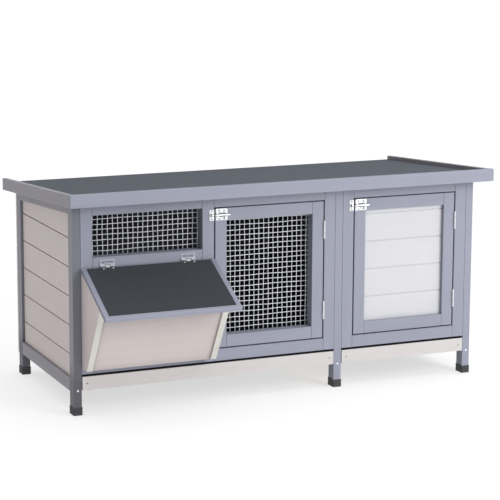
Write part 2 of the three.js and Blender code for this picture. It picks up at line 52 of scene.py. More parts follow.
# ---------------------------------------------------------------- driving dimensions
EASE = 0.0008  # rounding of sawn and sanded edges
HAIRLINE = 0.00015  # gap on each side of a glued joint
DOOR_GAP = 0.003
STILE = 0.030
PLANK_FACE = 0.010  # door planks behind the door's face
PLANK_REBATE = 0.006
MESH_LAP = 0.010
MESH_PITCH = 0.0127
WIRE_R = 0.00095
WIRE_OFFSET = 0.00022  # level wires before and upright wires behind the mesh's middle
WIRE_JITTER = 0.00010
WIRE_WAVE = 0.00055
SIDING_GROOVE_Z = 0.140
BOARD_PITCH = 0.070
SIDING_GAP = 0.0011  # half the gap between two boards
SIDING_BACKING = 0.003
SHEET_T = 0.0012  # latch plates and the lid hinges' upper leaves
BOLT_R = 0.0025
BOLT_BEFORE_PLATE = 0.0048  # bolt's axis before the back of its plate
HINGE_SPLIT = 0.0015  # between two knuckles
KNUCKLE_R = 0.0020
PIN_R = 0.0011
PROUD_OF_FACE = 0.0001  # a screw's rim before the face it sits on
FRONT = (0, -1, 0)  # the way the hutch's front looks

# camera, fitted to the hutch
CAMERA_AT = (-1.881, -4.261, 1.232)
CAMERA_YAW = 23.616
CAMERA_PITCH = 10.193
CAMERA_ROLL = 0.28
CAMERA_LENS = 135.23
CAMERA_SHIFT_Y = -0.05

# paints and finishes, and the painted light and shade, as linear colours
GRAY = (0.306, 0.318, 0.396)
# painted shade: the gray boards' faces that look left, darker than the light leaves them
GRAY_PAINTED_SHADE = (0.190, 0.200, 0.250)
# painted shade: a darker, warmer copy of the gray for the side walls' rails and the roof's side rails
GRAY_SIDE_PAINTED_SHADE = (0.265, 0.253, 0.285)
# painted light: the roof's side rails lighter on their top faces and eased edges, as if lit from above
GRAY_PAINTED_TOP_LIGHT = (0.370, 0.372, 0.415)
# painted shade: the left posts in a darker copy of the gray, darker again on their left faces and low down
GRAY_LEFT_POST_PAINTED_SHADE = (0.186, 0.192, 0.226)
GRAY_LEFT_POST_SIDE_PAINTED_SHADE = (0.245, 0.238, 0.280)
CREAM = (0.610, 0.546, 0.536)
# the siding's paint; on the hopper sides' left faces it stands in as painted shade
CREAM_SIDE = (0.600, 0.530, 0.518)
CREAM_EDGE = (0.650, 0.640, 0.590)
CREAM_TRAY = (0.630, 0.603, 0.597)
# painted shade: the trays' fronts dark on their top faces, in the gap under the rail
TRAY_TOP_PAINTED_SHADE = (0.050, 0.050, 0.058)
WHITE = (0.640, 0.645, 0.675)
PLAIN = (0.480, 0.340, 0.190)
FELT = (0.0088, 0.0094, 0.0112)
FELT_SHEEN = (0.72, 0.82, 1.00)
RUBBER = (0.045, 0.045, 0.050)
ZINC = (0.900, 0.910, 0.930)
LEAF = (0.300, 0.310, 0.375)
KNUCKLE = (0.620, 0.630, 0.680)
# painted shade: near-black in the screws' cross recesses; also the dark screw head at the left tray's far left
RECESS_PAINTED_SHADE = (0.030, 0.030, 0.035)
WIRE = (0.800, 0.820, 0.850)
TRAY = (0.085, 0.090, 0.100)
# painted shade: the interior's dark, on the back wall's inner face, the siding's backing, the divider and the
# roof's deck
INSIDE_PAINTED_SHADE = (0.072, 0.075, 0.102)

# studio
FLOOR_REACH = 58.0
FLOOR_TONES = ((0.39, 0.39, 0.39), (0.41, 0.41, 0.41))
FLOOR_GLOW = 0.62
FLOOR_GLOW_FAR = 0.70
SKY_LEFT = 0.12
SKY_RIGHT = 0.34
SKY_TOP = 1.40
KEY_AT = (1.35, -2.4, 1.35)
KEY_SIZE = 1.0
KEY_POWER = 34.5


# ---------------------------------------------------------------- shader helpers
def new_material(name):
    """A material, its node tree and its main shader."""
    material = bpy.data.materials.new(name)
    material.use_nodes = True
    tree = material.node_tree
    return material, tree, tree.nodes["Principled BSDF"]


def node(tree, kind, values=None, **settings):
    """Adds a shader node. A value that is a socket is linked, any other is set."""
    made = tree.nodes.new(kind)
    for key, value in settings.items():
        setattr(made, key, value)
    for key, value in (values or {}).items():
        plug(tree, made.inputs[key], value)
    return made


def plug(tree, socket, value):
    if isinstance(value, bpy.types.NodeSocket):
        tree.links.new(value, socket)
    else:
        socket.default_value = value


def math_node(tree, operation, a, b=0.0):
    return node(tree, "ShaderNodeMath", {0: a, 1: b}, operation=operation).outputs[0]


def noise(tree, vector, scale, detail=2.0, roughness=0.5):
    values = {"Vector": vector, "Scale": scale, "Detail": detail, "Roughness": roughness}
    return node(tree, "ShaderNodeTexNoise", values).outputs["Fac"]


def span(tree, value, low, high, to_low=0.0, to_high=1.0):
    """The value's range from low to high mapped to another range, and clamped there."""
    values = {"Value": value, "From Min": low, "From Max": high, "To Min": to_low, "To Max": to_high}
    return node(tree, "ShaderNodeMapRange", values, clamp=True).outputs["Result"]


def mix_colour(tree, factor, a, b):
    made = node(tree, "ShaderNodeMix", data_type="RGBA")
    plug(tree, made.inputs["Factor"], factor)
    for socket, value in zip((s for s in made.inputs if s.type == "RGBA"), (a, b)):
        plug(tree, socket, value if isinstance(value, bpy.types.NodeSocket) else (*value, 1.0))
    return next(s for s in made.outputs if s.type == "RGBA")


def bump(tree, height, distance, strength=1.0, below=None):
    values = {"Height": height, "Distance": distance, "Strength": strength}
    if below is not None:
        values["Normal"] = below
    return node(tree, "ShaderNodeBump", values).outputs["Normal"]


def scaled(colour, factor):
    return tuple(min(1.0, c * factor) for c in colour)


def dimmed(tree, colour, factor):
    """The colour times a factor of 0 to 1."""
    return mix_colour(tree, factor, (0.0, 0.0, 0.0), colour)


# ---------------------------------------------------------------- materials
def wood_grain(tree, place, grain):
    """Coordinates stretched along the grain axis, the fibres, the growth rings and their blend of 0 to 1.

    Each board's own seed shifts them, so that no two boards look alike.
    """
    board = node(tree, "ShaderNodeAttribute", attribute_name="board", attribute_type="GEOMETRY")
    seed = {0: board.outputs["Fac"], 1: (3.1, 5.3, 4.7)}
    offset = node(tree, "ShaderNodeVectorMath", seed, operation="MULTIPLY").outputs[0]
    shifted = {0: place.outputs["Object"], 1: offset}
    at = node(tree, "ShaderNodeVectorMath", shifted, operation="ADD").outputs[0]
    stretch = tuple(0.035 if axis == grain else 1.0 for axis in "XYZ")
    along = node(tree, "ShaderNodeVectorMath", {0: at, 1: stretch}, operation="MULTIPLY").outputs[0]
    fibres = noise(tree, along, 420.0, 3.0, 0.6)
    rings = noise(tree, along, 62.0, 2.0, 0.5)
    cloud = noise(tree, at, 9.0, 2.0, 0.5)
    mixed = math_node(tree, "MULTIPLY", rings, 0.45)
    mixed = math_node(tree, "ADD", mixed, math_node(tree, "MULTIPLY", fibres, 0.30))
    mixed = math_node(tree, "ADD", mixed, math_node(tree, "MULTIPLY", cloud, 0.30))
    return along, fibres, rings, span(tree, mixed, 0.36, 0.70)


def painted_crease_and_ground_shade(tree, place, shade, crease, foot):
    """Painted shade near other pieces and below a height, as wood() describes them."""
    if crease is not None:
        reach, factor = crease
        # an ambient-occlusion node darkens the base colour: painted shade
        free = node(tree, "ShaderNodeAmbientOcclusion", {"Distance": reach}, samples=32).outputs["AO"]
        shade = dimmed(tree, shade, span(tree, free, 0.55, 1.0, factor, 1.0))
    if foot is not None:
        height, factor = foot
        level = node(tree, "ShaderNodeSeparateXYZ", {0: place.outputs["Object"]}).outputs["Z"]
        shade = dimmed(tree, shade, span(tree, level, height - 0.02, height + 0.02, factor, 1.0))
    return shade


def wood(name, colour, grain, edge=1.0, facing=None, contrast=1.0, crease=None, foot=None):
    """Painted or bare softwood. grain is the axis the fibres run along.

    facing is (axis, lowest, highest, colour): faces whose normal lies between those values along the axis
    get that colour instead, painted light or shade by the way they face. crease is (reach, factor): painted
    shade darkens the colour by the factor where other pieces stand within reach. foot is (height, factor):
    painted shade darkens it by the factor below that height.
    """
    material, tree, bsdf = new_material(name)
    place = node(tree, "ShaderNodeTexCoord")
    along, fibres, rings, grain_tone = wood_grain(tree, place, grain)

    def painted(tone):
        light = scaled(tone, edge * (1.0 + 0.03 * contrast))
        dark = scaled(tone, edge * (1.0 - 0.05 * contrast))
        return mix_colour(tree, grain_tone, light, dark)

    shade = painted(colour)
    if facing is not None:
        axis, lowest, highest, other = facing
        normal = node(tree, "ShaderNodeSeparateXYZ", {0: place.outputs["Normal"]}).outputs[axis]
        above = span(tree, normal, lowest - 0.1, lowest, 0.0, 1.0)
        below = span(tree, normal, highest, highest + 0.1, 1.0, 0.0)
        shade = mix_colour(tree, math_node(tree, "MULTIPLY", above, below), shade, painted(other))
    shade = painted_crease_and_ground_shade(tree, place, shade, crease, foot)
    scuffs = span(tree, noise(tree, along, 150.0, 4.0, 0.7), 0.70, 0.78)
    shade = mix_colour(tree, math_node(tree, "MULTIPLY", scuffs, 0.35), shade, scaled(colour, 1.35))
    plug(tree, bsdf.inputs["Base Color"], shade)
    plug(tree, bsdf.inputs["Roughness"], span(tree, fibres, 0.3, 0.7, 0.48, 0.60))
    bsdf.inputs["Specular IOR Level"].default_value = 0.40
    fine = bump(tree, fibres, 0.00008, 0.5)
    plug(tree, bsdf.inputs["Normal"], bump(tree, rings, 0.00012 * contrast, 0.4, fine))
    return material


def felt(name, colour):
    """Bitumen roofing felt with mineral grit."""
    material, tree, bsdf = new_material(name)
    place = node(tree, "ShaderNodeTexCoord").outputs["Object"]
    cells = node(tree, "ShaderNodeTexVoronoi", {"Vector": place, "Scale": 620.0})
    grains = span(tree, cells.outputs["Distance"], 0.05, 0.75, 1.0, 0.0)
    sparkle = node(tree, "ShaderNodeSeparateXYZ", {0: cells.outputs["Color"]}).outputs["X"]
    cloud = noise(tree, place, 7.0, 3.0, 0.55)
    base = mix_colour(tree, span(tree, cloud, 0.35, 0.65), scaled(colour, 0.82), scaled(colour, 1.25))
    gritty = mix_colour(tree, span(tree, sparkle, 0.72, 1.0, 0.0, 0.55), base, scaled(colour, 4.2))
    plug(tree, bsdf.inputs["Base Color"], gritty)
    plug(tree, bsdf.inputs["Roughness"], span(tree, sparkle, 0.0, 1.0, 0.78, 0.95))
    bsdf.inputs["Specular IOR Level"].default_value = 0.45
    bsdf.inputs["Sheen Weight"].default_value = 0.25
    bsdf.inputs["Sheen Tint"].default_value = (*FELT_SHEEN, 1.0)
    bsdf.inputs["Sheen Roughness"].default_value = 0.6
    lumps = bump(tree, cloud, 0.0006, 0.4)
    plug(tree, bsdf.inputs["Normal"], bump(tree, grains, 0.0005, 0.8, lumps))
    return material


def metal(name, colour, rough_low, rough_high, metallic=0.9):
    """Zinc-plated or galvanised steel."""
    material, tree, bsdf = new_material(name)
    place = node(tree, "ShaderNodeTexCoord").outputs["Object"]
    cloud = noise(tree, place, 140.0, 3.0, 0.6)
    stretched = {0: place, 1: (1.0, 1.0, 0.06)}
    scratches = node(tree, "ShaderNodeVectorMath", stretched, operation="MULTIPLY").outputs[0]
    drawn = noise(tree, scratches, 1900.0, 2.0, 0.5)
    patchy = mix_colour(tree, span(tree, cloud, 0.35, 0.65), scaled(colour, 0.88), colour)
    plug(tree, bsdf.inputs["Base Color"], patchy)
    worn = math_node(tree, "MULTIPLY", cloud, 0.7)
    worn = math_node(tree, "ADD", worn, math_node(tree, "MULTIPLY", drawn, 0.3))
    plug(tree, bsdf.inputs["Roughness"], span(tree, worn, 0.35, 0.65, rough_low, rough_high))
    bsdf.inputs["Metallic"].default_value = metallic
    plug(tree, bsdf.inputs["Normal"], bump(tree, drawn, 0.00004, 0.5))
    return material


def moulded(name, colour, roughness):
    """Moulded rubber or plastic with a fine texture."""
    material, tree, bsdf = new_material(name)
    place = node(tree, "ShaderNodeTexCoord").outputs["Object"]
    fine = noise(tree, place, 1500.0, 2.0, 0.6)
    cloud = noise(tree, place, 30.0, 2.0, 0.5)
    mottled = mix_colour(tree, span(tree, cloud, 0.3, 0.7), scaled(colour, 0.85), scaled(colour, 1.2))
    plug(tree, bsdf.inputs["Base Color"], mottled)
    plug(tree, bsdf.inputs["Roughness"], span(tree, fine, 0.3, 0.7, roughness - 0.06, roughness + 0.08))
    plug(tree, bsdf.inputs["Normal"], bump(tree, fine, 0.00012, 0.5))
    return material


def gray_paints():
    # painted shade on faces that look left, and painted light on the roof rails' top faces
    painted_left_shade = ("X", -1.0, -0.6, GRAY_PAINTED_SHADE)
    painted_post_side_shade = ("X", -1.0, -0.6, GRAY_LEFT_POST_SIDE_PAINTED_SHADE)
    painted_top_light = ("Z", 0.5, 1.0, GRAY_PAINTED_TOP_LIGHT)
    painted_post_foot_shade = (0.10, 0.54)
    return {
        "grayX": wood("gray_paint_X", GRAY, "X", facing=painted_left_shade),
        "grayZ": wood("gray_paint_Z", GRAY, "Z", facing=painted_left_shade),
        "gray_edge": wood("gray_paint_edge", GRAY, "X", edge=1.14),
        # the side rails take the darker copy of the gray: painted shade
        "side_gray": wood("side_gray_painted_shade", GRAY_SIDE_PAINTED_SHADE, "Y"),
        "side_gray_edge": wood("side_gray_edge", GRAY_SIDE_PAINTED_SHADE, "Y", edge=1.10),
        # roof side rails: painted shade on their sides, painted light on their tops and edges
        "roof_side": wood("roof_rail_painted_light_and_shade", GRAY_SIDE_PAINTED_SHADE, "Y", facing=painted_top_light),
        "roof_side_edge": wood("roof_rail_edge", GRAY_PAINTED_TOP_LIGHT, "Y", edge=1.05),
        # the left posts: painted shade all over, more on their left faces and below about 0.10 m
        "left_post": wood("left_post_painted_shade", GRAY_LEFT_POST_PAINTED_SHADE, "Z", facing=painted_post_side_shade, foot=painted_post_foot_shade),
        "left_post_edge": wood("left_post_edge", GRAY_LEFT_POST_PAINTED_SHADE, "Z", edge=1.15, foot=painted_post_foot_shade),
    }


def pale_paints():
    # painted shade on faces that look left, on the trays' top faces under the rail and on the back wall's
    # inner face
    painted_left_shade = ("X", -1.0, -0.6, CREAM_SIDE)
    painted_under_rail_shade = ("Z", 0.7, 1.0, TRAY_TOP_PAINTED_SHADE)
    painted_indoor_shade = ("Y", -1.0, -0.5, INSIDE_PAINTED_SHADE)
    return {
        # painted shade: the hopper front darkens where the lid and other pieces stand close
        "hopper_front": wood("cream_hopper_front", CREAM, "X", crease=(0.130, 0.38)),
        "hopper_side": wood("cream_hopper_side", CREAM_EDGE, "Z", facing=painted_left_shade),
        "cream_edge": wood("cream_paint_edge", CREAM_EDGE, "X"),
        "cream_side": wood("cream_siding_paint", CREAM_SIDE, "Y", contrast=0.8),
        "cream_tray": wood("cream_tray_paint", CREAM_TRAY, "X", facing=painted_under_rail_shade, contrast=1.2),
        "cream_tray_edge": wood("cream_tray_edge", CREAM_TRAY, "X", edge=1.06),
        "back": wood("back_wall_paint", CREAM, "X", facing=painted_indoor_shade),
        "whiteX": wood("white_paint", WHITE, "X", contrast=0.5),
    }


def bare_wood_and_painted_indoor_shade():
    return {
        "plainY": wood("bare_fir", PLAIN, "Y", contrast=5.0),
        # painted shade: dark fir for the inside, as dark as the shade there
        "insideX": wood("fir_painted_shade_level", INSIDE_PAINTED_SHADE, "X", contrast=3.0),
        "insideZ": wood("fir_painted_shade_upright", INSIDE_PAINTED_SHADE, "Z", contrast=3.0),
    }


def other_finishes():
    return {
        "felt": felt("roofing_felt", FELT),
        "zinc": metal("zinc_plate", ZINC, 0.28, 0.45, 0.8),
        "leaf": metal("dull_zinc_leaf", LEAF, 0.35, 0.55, 0.5),
        "knuckle": metal("dull_zinc_knuckle", KNUCKLE, 0.35, 0.55, 0.5),
        # near-black: painted shade in the recesses
        "recess": metal("dark_recess", RECESS_PAINTED_SHADE, 0.50, 0.70, 0.3),
        "wire": metal("galvanised_wire", WIRE, 0.35, 0.55, 0.25),
        "rubber": moulded("foot_rubber", RUBBER, 0.62),
        "tray": moulded("tray_plastic", TRAY, 0.45),
    }


M = {**gray_paints(), **pale_paints(), **bare_wood_and_painted_indoor_shade(), **other_finishes()}


# ---------------------------------------------------------------- mesh helpers
def shape_from(name, bm, materials, body, replaces=(), smooth=False):
    """A piece that rides on a body, in place of the CAD nodes it replaces."""
    bmesh.ops.recalc_face_normals(bm, faces=bm.faces)
    mesh = bpy.data.meshes.new(name)
    bm.to_mesh(mesh)
    bm.free()
    for material in materials:
        mesh.materials.append(M[material])
    mesh.polygons.foreach_set("use_smooth", [smooth] * len(mesh.polygons))
    piece = bpy.data.objects.new(name, mesh)
    bpy.context.scene.collection.objects.link(piece)
    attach(piece, body)
    if replaces:
        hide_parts(*replaces)
    return piece


def join_rings(bm, rings):
    """A closed skin through the rings, capped at both ends. Returns its faces."""
    faces = [bm.faces.new(rings[0]), bm.faces.new(list(reversed(rings[-1])))]
    for a, b in zip(rings, rings[1:]):
        for k in range(len(a)):
            n = (k + 1) % len(a)
            faces.append(bm.faces.new((a[k], a[n], b[n], b[k])))
    return faces


def add_board(bm, outline, axis, start, end, material, seed, ease=EASE):
    """A board of any section, drawn along an axis, with eased edges.

    The outline holds the other two coordinates.
    """
    layer = bm.verts.layers.float.get("board") or bm.verts.layers.float.new("board")
    before_faces, before_verts = set(bm.faces), set(bm.verts)
    slot = "XYZ".index(axis)
    rings = []
    for a in (start, end):
        rings.append([bm.verts.new((*point[:slot], a, *point[slot:])) for point in outline])
    edges = {e for f in join_rings(bm, rings) for e in f.edges}
    bmesh.ops.bevel(
        bm, geom=list(edges), offset=ease, segments=2, profile=0.5, affect="EDGES", clamp_overlap=True
    )
    for face in set(bm.faces) - before_faces:
        face.material_index = material
    for vert in set(bm.verts) - before_verts:
        vert[layer] = seed


def rectangle(u0, u1, v0, v1):
    """The corners of a rectangle."""
    return [(u0, v0), (u1, v0), (u1, v1), (u0, v1)]


def arc(centre, radius, start, end, steps):
    """Points on an arc, its angles in degrees."""
    angles = [math.radians(start + (end - start) * i / steps) for i in range(steps + 1)]
    return [(centre[0] + radius * math.cos(a), centre[1] + radius * math.sin(a)) for a in angles]


def rounded(u0, u1, v0, v1, radius):
    """A rectangle with round corners."""
    corners = ((u1, v1, -1, -1, 0), (u0, v1, 1, -1, 90), (u0, v0, 1, 1, 180), (u1, v0, -1, 1, 270))
    points = []
    for u, v, du, dv, turn in corners:
        points += arc((u + du * radius, v + dv * radius), radius, turn, turn + 90, 4)
    return points


def round_ring(bm, middle, radius, side, other, sides):
    """A circle of vertices in the plane of two directions."""
    turns = [2 * math.pi * k / sides for k in range(sides)]
    return [bm.verts.new(middle + radius * (math.cos(t) * side + math.sin(t) * other)) for t in turns]


def add_turned(bm, start, direction, profile, sides=20):
    """A solid of revolution. The profile holds distances along the direction and radii."""
    direction = Vector(direction).normalized()
    side = direction.orthogonal().normalized()
    other = direction.cross(side)
    rings = []
    for along, radius in profile:
        rings.append(round_ring(bm, Vector(start) + direction * along, radius, side, other, sides))
    join_rings(bm, rings)


def add_tube(bm, points, radius, sides=8):
    """A closed round tube through the points."""
    points = [Vector(p) for p in points]
    rings, side = [], None
    for i, p in enumerate(points):
        ahead = (points[min(i + 1, len(points) - 1)] - points[max(i - 1, 0)]).normalized()
        if side is None:
            side = ahead.orthogonal().normalized()
        side = (side - ahead * side.dot(ahead)).normalized()
        rings.append(round_ring(bm, p, radius, side, ahead.cross(side), sides))
    join_rings(bm, rings)


def dress(name, material, edge=None, ease=EASE):
    """Keeps a CAD node, with eased edges and its own material."""
    piece = frame["nodes"][name]
    piece.data.materials.clear()
    piece.data.materials.append(M[material])
    if edge:
        piece.data.materials.append(M[edge])
    weld = piece.modifiers.new("weld", "WELD")
    weld.merge_threshold = 1e-6
    flat = piece.modifiers.new("flat", "DECIMATE")
    flat.decimate_type = "DISSOLVE"
    flat.angle_limit = math.radians(1.0)
    soft = piece.modifiers.new("ease", "BEVEL")
    soft.width = ease
    soft.segments = 2
    soft.limit_method = "ANGLE"
    soft.angle_limit = math.radians(30)
    if edge:
        soft.material = 1


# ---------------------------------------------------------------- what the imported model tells
def joint_axis(name):
    """A point on the joint's axis."""
    return Vector(next(joint["pos_m"] for joint in frame["joints"] if joint["name"] == name))


def lid_directions():
    """The closed lid's upward normal, and the direction down its slope to the front."""
    sheet = frame["nodes"]["lid_felt"].data
    normal = max((p for p in sheet.polygons if p.normal.z > 0), key=lambda p: p.area).normal.copy()
    return normal, Vector((0.0, -normal.z, normal.y))


# ---------------------------------------------------------------- frames and doors, board by board
def front_board(bm, xs, zs, ys, along, seed):
    """One stile (along Z) or rail (along X) of a front frame, short of its neighbours by a hairline."""
    if along == "Z":
        outline = rectangle(xs[0] + HAIRLINE, xs[1] - HAIRLINE, *ys)
        add_board(bm, outline, "Z", zs[0], zs[1], 1, seed)
    else:
        outline = rectangle(*ys, zs[0] + HAIRLINE, zs[1] - HAIRLINE)
        add_board(bm, outline, "X", xs[0] + HAIRLINE, xs[1] - HAIRLINE, 0, seed)


def frame_from(bm, node_name, body):
    """One piece in place of a CAD frame. Its rails are material 0 and its stiles 1."""
    shape_from(node_name + "_boards", bm, ["grayX", "grayZ"], body, [node_name])


def opening_of(node_name, inset):
    """The limits in X and Z of a node's box, drawn in by the inset."""
    lo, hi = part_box(node_name)
    return (lo.x + inset, hi.x - inset), (lo.z + inset, hi.z - inset)


def front_frames():
    """Stiles from bottom to top and rails between them, around the window and the two doors."""
    lo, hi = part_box("front_left_frame")
    ys = (lo.y, hi.y)
    window_x, window_z = opening_of("window_mesh", MESH_LAP)
    door_x, door_z = opening_of("middle_door_frame", -DOOR_GAP)
    hinge_rail = window_z[0] - STILE + 0.0004
    bm = bmesh.new()
    full = (lo.z, hi.z)
    front_board(bm, (lo.x, window_x[0]), full, ys, "Z", 0.11)
    front_board(bm, (window_x[1], door_x[0]), full, ys, "Z", 0.37)
    front_board(bm, (door_x[1], hi.x), full, ys, "Z", 0.53)
    for xs, seed in ((window_x, 0.71), (door_x, 0.83)):
        front_board(bm, xs, (window_z[1], hi.z), ys, "X", seed)
        front_board(bm, xs, (lo.z, door_z[0]), ys, "X", seed + 0.09)
    front_board(bm, window_x, (hinge_rail, window_z[0]), ys, "X", 0.97)
    frame_from(bm, "front_left_frame", "hutch")

    lo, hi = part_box("front_right_frame")
    door_x, door_z = opening_of("right_door_frame", -DOOR_GAP)
    bm = bmesh.new()
    front_board(bm, (lo.x, door_x[0]), full, ys, "Z", 0.19)
    front_board(bm, (door_x[1], hi.x), full, ys, "Z", 0.43)
    front_board(bm, door_x, (window_z[1], hi.z), ys, "X", 0.61)
    front_board(bm, door_x, (lo.z, door_z[0]), ys, "X", 0.77)
    frame_from(bm, "front_right_frame", "hutch")


def door_boards(node_name, body, rebated, seeds):
    """A door frame of four boards. A rebated one has a step behind, where its planks lie."""
    lo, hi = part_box(node_name)
    step = PLANK_REBATE if rebated else 0.0
    face = lo.y + PLANK_FACE
    bm = bmesh.new()

    def section(outer, inner):
        if not rebated:
            return [(outer, lo.y), (inner, lo.y), (inner, hi.y), (outer, hi.y)]
        back = inner - step if inner > outer else inner + step
        return [(outer, lo.y), (inner, lo.y), (inner, face), (back, face), (back, hi.y), (outer, hi.y)]

    left, right = lo.x + STILE - HAIRLINE, hi.x - STILE + HAIRLINE
    add_board(bm, section(lo.x, left), "Z", lo.z, hi.z, 1, seeds[0])
    add_board(bm, section(hi.x, right), "Z", lo.z, hi.z, 1, seeds[1])
    for (outer, inner), seed in zip(((lo.z, lo.z + STILE), (hi.z, hi.z - STILE)), seeds[2:]):
        outline = [(y, z) for z, y in section(outer, inner)]
        add_board(bm, outline, "X", left + 2 * HAIRLINE, right - 2 * HAIRLINE, 0, seed)
    frame_from(bm, node_name, body)


# ---------------------------------------------------------------- welded wire
def welded_wire(node_name, body, phase):
    """Upright wires behind, level wires in front, fused where they cross, each slightly wavy."""
    lo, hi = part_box(node_name)
    rng = random.Random(node_name)
    middle = (lo.y + hi.y) / 2
    edge = WIRE_R * 1.5 + WIRE_WAVE
    bm = bmesh.new()

    def places(start, end, shift):
        first = start + MESH_PITCH * shift
        return [first + MESH_PITCH * i for i in range(int((end - first) / MESH_PITCH) + 1)]

    def wave(start, end):
        """Points along a wire with their sideways offset."""
        count = 2 * max(2, round((end - start) / MESH_PITCH))
        turn, phase_at = rng.uniform(0.8, 2.2), rng.uniform(0, 2 * math.pi)
        points = []
        for i in range(count + 1):
            swing = WIRE_WAVE * math.sin(phase_at + turn * 2 * math.pi * i / count)
            points.append((start + (end - start) * i / count, swing + rng.uniform(-WIRE_JITTER, WIRE_JITTER)))
        return points

    for x in places(lo.x + edge, hi.x - edge, phase[0]):
        y = middle + WIRE_OFFSET
        add_tube(bm, [(x + aside, y, z) for z, aside in wave(lo.z + edge, hi.z - edge)], WIRE_R)
    for z in places(lo.z + edge, hi.z - edge, phase[1]):
        y = middle - WIRE_OFFSET
        add_tube(bm, [(x, y, z + aside) for x, aside in wave(lo.x + edge, hi.x - edge)], WIRE_R)
    shape_from(node_name + "_wires", bm, ["wire"], body, [node_name], smooth=True)


def staples(node_name, body):
    """Staples that hold a mesh's lap to the back of its frame."""
    crown, leg, wire_r = 0.0050, 0.0045, 0.0006
    lo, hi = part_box(node_name)
    y = (lo.y + hi.y) / 2 + WIRE_OFFSET + WIRE_R + wire_r
    inset = MESH_LAP / 2
    bm = bmesh.new()

    def staple(x, z, dx, dz):
        ends = [(x - dx * crown, z - dz * crown), (x + dx * crown, z + dz * crown)]
        points = [(ends[0][0], y - leg, ends[0][1])]
        points += [(u, y, w) for u, w in ends]
        points.append((ends[1][0], y - leg, ends[1][1]))
        add_tube(bm, points, wire_r, 6)

    def spread(start, end):
        count = max(1, round((end - start) / 0.07))
        return [start + (end - start) * (i + 0.5) / count for i in range(count)]

    for x in spread(lo.x + inset, hi.x - inset):
        for z in (lo.z + inset, hi.z - inset):
            staple(x, z, 1, 0)
    for z in spread(lo.z + inset, hi.z - inset):
        for x in (lo.x + inset, hi.x - inset):
            staple(x, z, 0, 1)
    shape_from(node_name + "_staples", bm, ["zinc"], body, smooth=True)


# ---------------------------------------------------------------- siding
def siding(node_name, outer_sign):
    """Level boards on a backing in dark painted shade, with gaps between them and at the posts.

    outer_sign is -1 on the left wall and 1 on the right.
    """
    lo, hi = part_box(node_name)
    corners = [v.co for v in frame["nodes"][node_name].data.vertices]
    top_front = max(c.z for c in corners if c.y < lo.y + 0.001)
    top_back = max(c.z for c in corners if c.y > hi.y - 0.001)
    inner, outer = (hi.x, lo.x) if outer_sign < 0 else (lo.x, hi.x)
    backing_x = sorted((inner, inner + outer_sign * SIDING_BACKING))
    board_x = sorted((outer, inner + outer_sign * (SIDING_BACKING + HAIRLINE)))
    grooves = []
    while SIDING_GROOVE_Z + BOARD_PITCH * len(grooves) < top_back:
        grooves.append(SIDING_GROOVE_Z + BOARD_PITCH * len(grooves))
    bottoms = [lo.z] + [z + SIDING_GAP for z in grooves]
    tops = [z - SIDING_GAP for z in grooves]
    ends = (lo.y + SIDING_GAP, hi.y - SIDING_GAP)
    bm = bmesh.new()
    for i, bottom in enumerate(bottoms):
        front, back = (tops[i], tops[i]) if i < len(tops) else (top_front, top_back)
        outline = [(ends[0], bottom), (ends[1], bottom), (ends[1], back), (ends[0], front)]
        add_board(bm, outline, "X", *board_x, 0, 0.17 + 0.29 * i)
    outline = [(lo.y, lo.z), (hi.y, lo.z), (hi.y, top_back), (lo.y, top_front)]
    # the backing behind the gaps is dark: painted shade
    add_board(bm, outline, "X", *backing_x, 1, 0.5)
    materials = ["cream_side", "insideX"]
    shape_from(node_name + "_boards", bm, materials, "hutch", [node_name])


# ---------------------------------------------------------------- feet
def foot_cap(node_name):
    """A moulded cap with rounded corners, a rolled rim and ribs."""
    lo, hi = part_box(node_name)
    centre = (lo + hi) / 2
    half = (hi - lo) / 2
    height = hi.z - lo.z
    bm = bmesh.new()
    ribs = 4
    profile = [(0.0, 0.0012), (0.0008, 0.0002), (0.0018, 0.0)]
    pitch = (height - 0.006) / ribs
    for i in range(ribs):
        z = 0.0026 + i * pitch
        profile += [(z, 0.0), (z + pitch * 0.30, 0.00055), (z + pitch * 0.70, 0.00055), (z + pitch, 0.0)]
    profile += [(height - 0.0012, 0.0), (height - 0.0003, 0.0003), (height, 0.0009)]
    corner, turns = 0.0028, 6

    def ring(z, inset):
        points = []
        for quarter in range(4):
            sx = 1 if quarter in (0, 3) else -1
            sy = 1 if quarter in (0, 1) else -1
            for k in range(turns + 1):
                t = math.pi / 2 * (quarter + k / turns)
                x = centre.x + sx * (half.x - inset - corner) + corner * math.cos(t)
                y = centre.y + sy * (half.y - inset - corner) + corner * math.sin(t)
                points.append(bm.verts.new((x, y, lo.z + z)))
        return points

    wall = 0.0015
    rings = [ring(z, inset) for z, inset in profile]
    rings += [ring(height - 0.0002, wall), ring(0.0035, wall)]
    join_rings(bm, rings)
    shape_from(node_name + "_moulded", bm, ["rubber"], "hutch", [node_name])


# ---------------------------------------------------------------- screws
def add_screw(bm, at, normal, radius=0.0030, proud=0.0009, cut=0.13):
    """A shallow domed head standing on a face. cut is the half width of its dark cross recess, as a share."""
    normal = Vector(normal).normalized()
    side = normal.orthogonal().normalized()
    other = normal.cross(side)
    at = Vector(at)
    sides = 24
    shares = (1.0, 0.97, 0.88, 0.74, 0.58, 0.44, 0.30, 0.16)
    rings, sunk = [], set()
    for index, share in enumerate(shares):
        ring = []
        for k in range(sides):
            t = 2 * math.pi * k / sides
            u, v = share * math.cos(t), share * math.sin(t)
            rise = 0.0 if index == 0 else proud * math.sqrt(max(0.0, 1.0 - 0.8 * share * share))
            in_cross = min(abs(u), abs(v)) < cut and max(abs(u), abs(v)) < 0.70
            rise = rise - proud * 0.75 if in_cross else rise
            ring.append(bm.verts.new(at + radius * (u * side + v * other) + normal * rise))
            if in_cross:
                sunk.add(ring[-1])
        rings.append(ring)
    for face in join_rings(bm, rings):
        deep = [v for v in face.verts if v in sunk]
        face.material_index = 1 if len(deep) > 2 else 0


